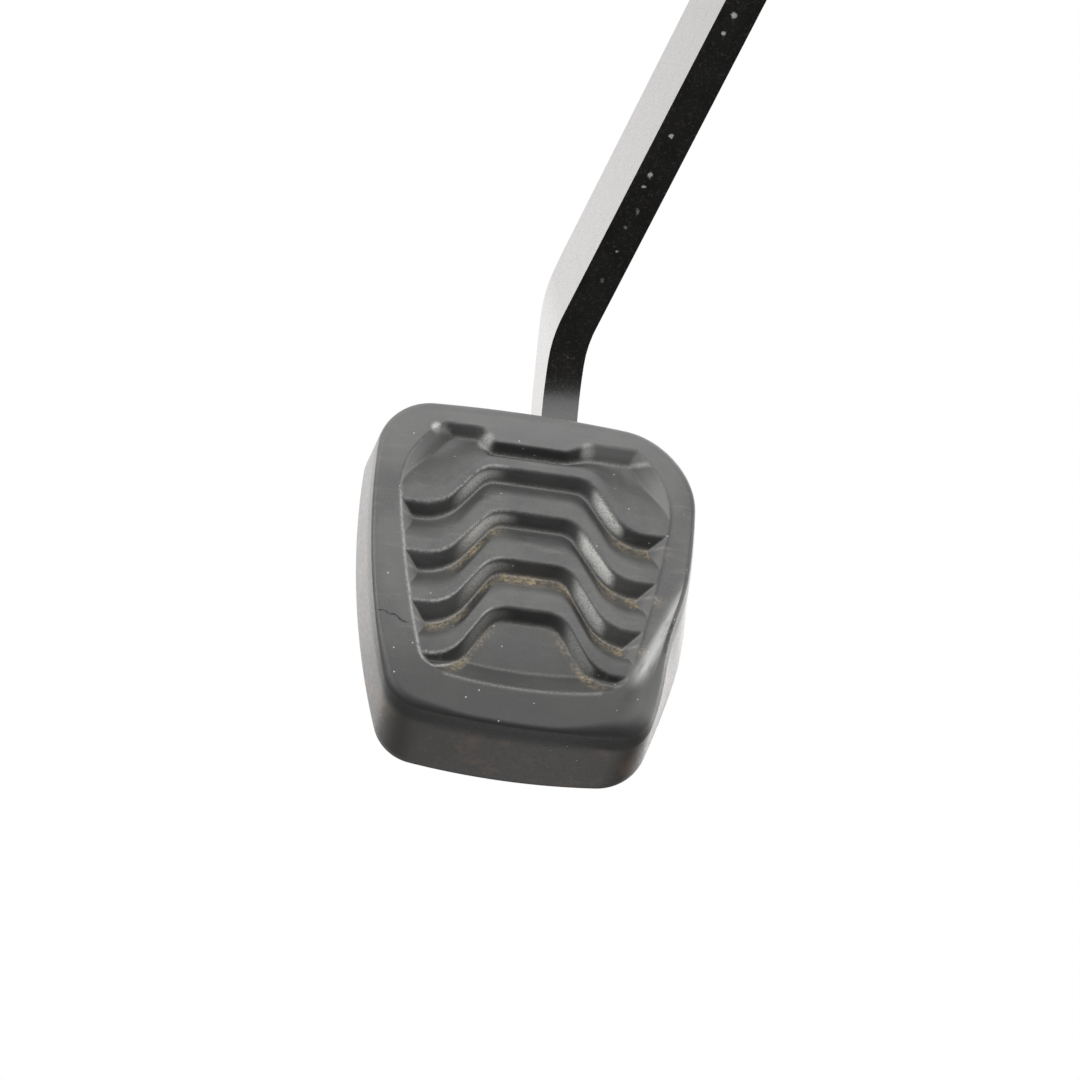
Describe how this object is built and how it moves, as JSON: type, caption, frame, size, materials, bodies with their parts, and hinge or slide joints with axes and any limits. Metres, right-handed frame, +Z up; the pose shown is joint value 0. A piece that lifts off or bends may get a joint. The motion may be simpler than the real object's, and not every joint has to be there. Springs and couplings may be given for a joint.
{
  "type": "clutch pedal",
  "caption": "Suspended clutch pedal: a ridged rubber pad on a cranked flat-bar arm that swings on a bolted pivot in a folded bulkhead bracket, with return spring and up-stop.",
  "frame": {"origin": "centre of the four bulkhead bolts, on the bracket's mounting face", "axes": "+X to the driver's right, +Y forward into the bulkhead, +Z up"},
  "size_m": [0.1148, 0.2049, 0.3398],
  "materials": {
    "bracket_paint": "satin black",
    "arm_paint": "gloss black",
    "zinc_steel": "zinc plated",
    "spring_steel": "oiled spring steel",
    "nylon": "moulded nylon",
    "pad_rubber": "moulded, worn",
    "stop_rubber": "moulded"
  },
  "bodies": {
    "bracket": {"mounting_bracket": "bracket_paint", "pivot_bolt": "zinc_steel", "pivot_nut": "zinc_steel", "washer_right": "zinc_steel", "washer_left": "zinc_steel", "spacer_sleeve": "zinc_steel", "stop_bolt": "zinc_steel", "stop_weld_nut": "zinc_steel", "stop_lock_nut": "zinc_steel", "stop_cap": "stop_rubber", "return_spring": "spring_steel"},
    "pedal": {"pedal_arm": "arm_paint", "pivot_hub": "arm_paint", "bush_left": "nylon", "bush_right": "nylon", "spring_liner": "nylon", "spring_saddle": "nylon", "pushrod_pin": "zinc_steel", "foot_plate": "arm_paint", "pad_rubber": "pad_rubber"}
  },
  "joints": [
    {"name": "pedal_swing", "type": "hinge", "parent": "bracket", "child": "pedal", "pos_m": [0, -0.122, 0.036], "axis": [1, 0, 0], "range_deg": [0, 26], "stiffness_Nm_per_rad": 2, "springref_deg": -45.84, "deforming": ["return_spring"]}
  ]
}
